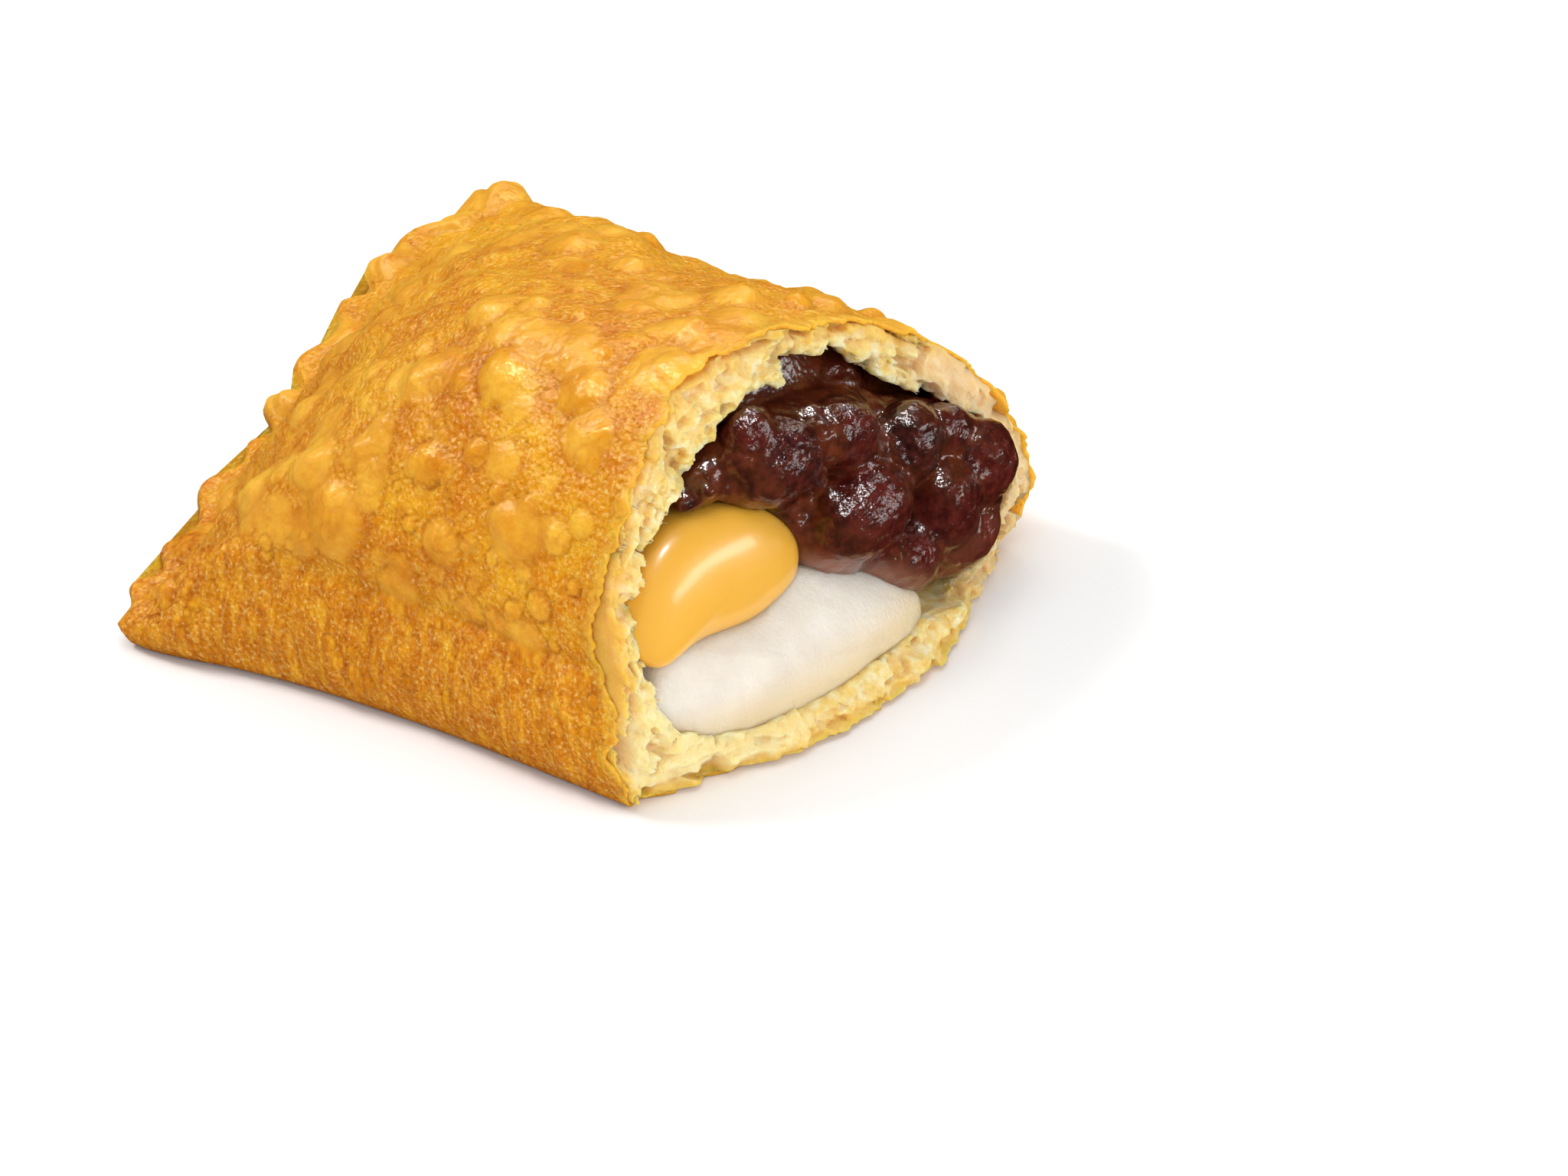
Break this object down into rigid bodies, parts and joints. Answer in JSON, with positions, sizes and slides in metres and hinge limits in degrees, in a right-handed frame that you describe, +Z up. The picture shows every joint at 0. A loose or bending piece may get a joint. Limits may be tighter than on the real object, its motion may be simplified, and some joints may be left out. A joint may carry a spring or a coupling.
{
  "type": "red bean mochi pie",
  "caption": "Torn half of a fried pie with a blistered crust and a pressed, wavy sealed end, filled with sweet whole-bean paste, soft white rice cake and yellow cream.",
  "frame": {"origin": "middle of the bounding box in plan, on the surface that the pie rests on", "axes": "+X out of the torn face and -X to the sealed end; -Y the tall folded front side, +Y the rounded back fold; +Z up"},
  "size_m": [0.0786, 0.0644, 0.0349],
  "materials": {
    "crust": "fried pastry, lightly oily, blistered",
    "red_bean_paste": "wet, syrupy whole beans",
    "mochi": "soft, slightly see-through",
    "cream": "smooth and glossy"
  },
  "bodies": {
    "root": {"crust": "crust", "red_bean_paste": "red_bean_paste", "mochi": "mochi", "cream": "cream"}
  },
  "joints": []
}
